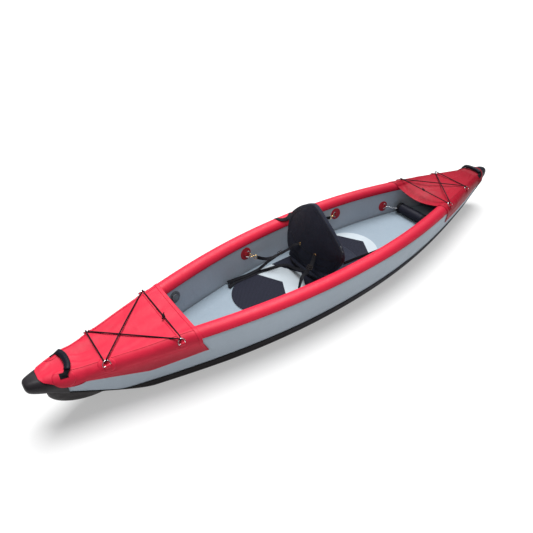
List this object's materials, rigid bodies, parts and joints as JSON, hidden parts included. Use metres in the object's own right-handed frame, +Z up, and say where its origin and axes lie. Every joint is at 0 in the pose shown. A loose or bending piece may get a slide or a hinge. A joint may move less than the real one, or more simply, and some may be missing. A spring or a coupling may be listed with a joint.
{
  "type": "inflatable kayak",
  "caption": "Inflatable drop-stitch kayak for one paddler, with end decks, high-back seat, foot rest, deck bungees, carry handles and air valves.",
  "frame": {"origin": "on the ground under the middle of the overall length and breadth", "axes": "+X to the bow, +Y to port, +Z up"},
  "size_m": [3.7604, 0.7714, 0.63],
  "materials": {
    "grey_panel": "matt coated fabric",
    "floor_panel": "matt coated fabric",
    "red_rub_strip": "satin coated fabric",
    "red_deck_fabric": "satin coated fabric",
    "black_skin": "satin coated fabric",
    "black_moulding": "satin",
    "white_foam": "matt closed-cell foam",
    "black_foam": "matt grooved closed-cell foam",
    "black_seat_fabric": "woven nylon over foam",
    "black_tube_fabric": "satin coated fabric",
    "black_cord": "braided sheath",
    "black_grip": "satin",
    "steel_wire": "polished stainless steel",
    "brass_hook": "polished",
    "brass_buckle": "brushed",
    "black_webbing": "woven nylon webbing",
    "grey_valve_plastic": "satin"
  },
  "bodies": {
    "hull": {"bottom_skin": "black_skin", "bow_bungee": "black_cord", "bow_cap": "black_moulding", "bow_deck": "red_deck_fabric", "bow_deck_ring_front_port": "steel_wire", "bow_deck_ring_front_starboard": "steel_wire", "bow_deck_ring_rear_port": "steel_wire", "bow_deck_ring_rear_starboard": "steel_wire", "floor_chamber": "floor_panel", "floor_pad_base": "white_foam", "floor_pad_front": "black_foam", "floor_pad_rear": "black_foam", "footrest_clip_port": "steel_wire", "footrest_clip_starboard": "steel_wire", "footrest_tube": "black_tube_fabric", "gunwale_strip_port": "red_rub_strip", "gunwale_strip_starboard": "red_rub_strip", "hook_webbing_rear_port": "black_webbing", "hook_webbing_rear_starboard": "black_webbing", "paddle_strap": "black_webbing", "seat_cushion": "black_seat_fabric", "seat_strap_front_port": "black_webbing", "seat_strap_front_starboard": "black_webbing", "seat_strap_rear_port": "black_webbing", "seat_strap_rear_starboard": "black_webbing", "side_chamber_port": "grey_panel", "side_chamber_starboard": "grey_panel", "snap_hook_front_port": "brass_hook", "snap_hook_front_starboard": "brass_hook", "snap_hook_rear_port": "brass_hook", "snap_hook_rear_starboard": "brass_hook", "stern_bungee": "black_cord", "stern_cap": "black_moulding", "stern_deck": "red_deck_fabric", "stern_deck_ring_front_port": "steel_wire", "stern_deck_ring_front_starboard": "steel_wire", "stern_deck_ring_rear_port": "steel_wire", "stern_deck_ring_rear_starboard": "steel_wire", "strap_buckle_port": "brass_buckle", "strap_buckle_starboard": "brass_buckle", "valve_body_floor": "grey_valve_plastic", "valve_body_port": "grey_valve_plastic", "valve_body_starboard": "grey_valve_plastic", "wall_ring_foot_port": "steel_wire", "wall_ring_foot_starboard": "steel_wire", "wall_ring_front_port": "steel_wire", "wall_ring_front_starboard": "steel_wire", "wall_ring_rear_port": "steel_wire", "wall_ring_rear_starboard": "steel_wire"},
    "backrest": {"backrest": "black_seat_fabric"},
    "stern_handle": {"stern_handle_webbing": "black_webbing", "stern_handle_grip": "black_grip"},
    "bow_handle": {"bow_handle_webbing": "black_webbing", "bow_handle_grip": "black_grip"},
    "valve_cap_port": {"valve_cap_port": "grey_valve_plastic"},
    "valve_pin_port": {"valve_pin_port": "grey_valve_plastic"},
    "valve_cap_starboard": {"valve_cap_starboard": "grey_valve_plastic"},
    "valve_pin_starboard": {"valve_pin_starboard": "grey_valve_plastic"},
    "valve_cap_floor": {"valve_cap_floor": "grey_valve_plastic"},
    "valve_pin_floor": {"valve_pin_floor": "grey_valve_plastic"}
  },
  "joints": [
    {"name": "backrest_recline", "type": "hinge", "parent": "hull", "child": "backrest", "pos_m": [-0.112, 0, 0.179], "axis": [0, 1, 0], "range_deg": [-20, 34], "deforming": ["seat_strap_rear_port", "seat_strap_rear_starboard", "seat_strap_front_port", "seat_strap_front_starboard"]},
    {"name": "stern_handle_swing", "type": "hinge", "parent": "hull", "child": "stern_handle", "pos_m": [-1.7087, 0, 0.3201], "axis": [0, -1, 0], "range_deg": [0, 65], "deforming": ["stern_handle_webbing"]},
    {"name": "bow_handle_swing", "type": "hinge", "parent": "hull", "child": "bow_handle", "pos_m": [1.6788, 0, 0.3062], "axis": [0, -1, 0], "range_deg": [0, 52], "deforming": ["bow_handle_webbing"]},
    {"name": "valve_cap_port_pull", "type": "slide", "parent": "hull", "child": "valve_cap_port", "axis": [0.2102, -0.9656, 0.1529], "range_m": [0, 0.03]},
    {"name": "valve_pin_port_press", "type": "slide", "parent": "hull", "child": "valve_pin_port", "axis": [-0.2102, 0.9656, -0.1529], "range_m": [0, 0.004], "stiffness_N_per_m": 800},
    {"name": "valve_cap_starboard_pull", "type": "slide", "parent": "hull", "child": "valve_cap_starboard", "axis": [0.2102, 0.9656, 0.1529], "range_m": [0, 0.03]},
    {"name": "valve_pin_starboard_press", "type": "slide", "parent": "hull", "child": "valve_pin_starboard", "axis": [-0.2102, -0.9656, -0.1529], "range_m": [0, 0.004], "stiffness_N_per_m": 800},
    {"name": "valve_cap_floor_pull", "type": "slide", "parent": "hull", "child": "valve_cap_floor", "axis": [0, 0, 1], "range_m": [0, 0.03]},
    {"name": "valve_pin_floor_press", "type": "slide", "parent": "hull", "child": "valve_pin_floor", "axis": [0, 0, -1], "range_m": [0, 0.004], "stiffness_N_per_m": 800}
  ]
}
